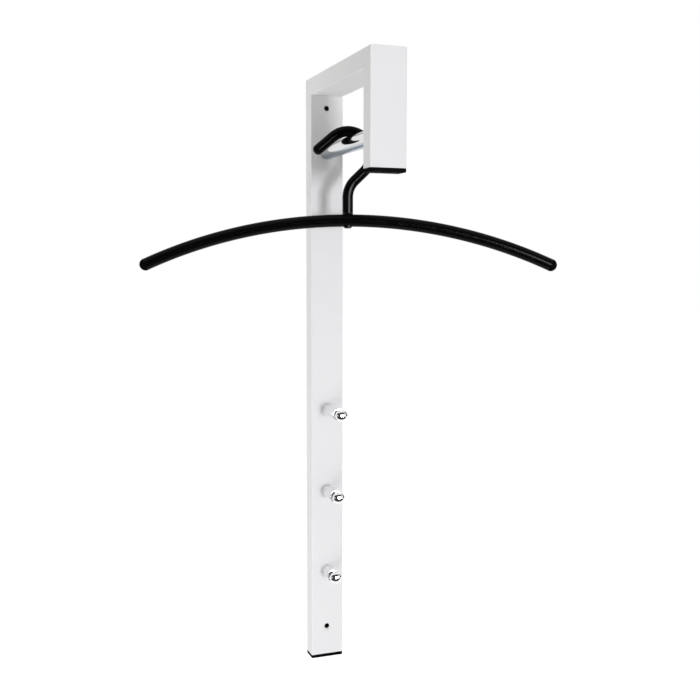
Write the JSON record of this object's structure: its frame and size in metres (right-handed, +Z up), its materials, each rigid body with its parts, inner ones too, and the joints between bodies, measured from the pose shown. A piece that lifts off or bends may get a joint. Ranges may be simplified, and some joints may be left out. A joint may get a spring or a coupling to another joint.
{
  "type": "wall coat rack",
  "caption": "White tube rack for a wall, with a forward arm and drop, a chrome rail between them, a black swivelling clothes hanger on the rail and chrome pegs on the post.",
  "frame": {"origin": "on the back face of the post, which lies on the wall, halfway between the two screw holes", "axes": "+X along the wall to the right seen from the front, +Y into the wall, +Z up"},
  "size_m": [0.443, 0.21, 0.7043],
  "materials": {
    "white_coat": "white powder coat, satin",
    "black_coat": "black coat, semi-gloss",
    "black_plastic": "moulded black plastic, fine grain",
    "chrome": "polished chrome plate",
    "plated_steel": "turned, zinc plated"
  },
  "bodies": {
    "rack": {"post_tube": "white_coat", "arm_tube": "white_coat", "drop_tube": "white_coat", "rear_corner_key": "black_plastic", "front_corner_key": "black_plastic", "post_end_cap": "black_plastic", "drop_end_cap": "black_plastic", "rod_rear_insert": "plated_steel", "rod_front_insert": "plated_steel", "rod_rear_spigot": "plated_steel", "rod_front_spigot": "plated_steel", "peg_lower": "chrome", "peg_middle": "chrome", "peg_upper": "chrome", "peg_lower_insert": "plated_steel", "peg_middle_insert": "plated_steel", "peg_upper_insert": "plated_steel"},
    "rod": {"rod_tube": "chrome"},
    "hook": {"hanger_hook": "black_coat"},
    "shoulder": {"hanger_shoulder": "black_coat", "shoulder_plug_left": "black_plastic", "shoulder_plug_right": "black_plastic", "swivel_bush": "black_plastic", "swivel_washer": "black_coat"}
  },
  "joints": [
    {"name": "hanger_swing", "type": "hinge", "parent": "rack", "child": "rod", "pos_m": [0, -0.105, 0.2645], "axis": [0, 1, 0], "range_deg": [-30, 30]},
    {"name": "hanger_slide", "type": "slide", "parent": "rod", "child": "hook", "axis": [0, -1, 0], "range_m": [0, 0.065]},
    {"name": "hanger_swivel", "type": "hinge", "parent": "hook", "child": "shoulder", "pos_m": [0, -0.091, 0.18062], "axis": [0, 0, 1], "range_deg": [0, 42]}
  ]
}
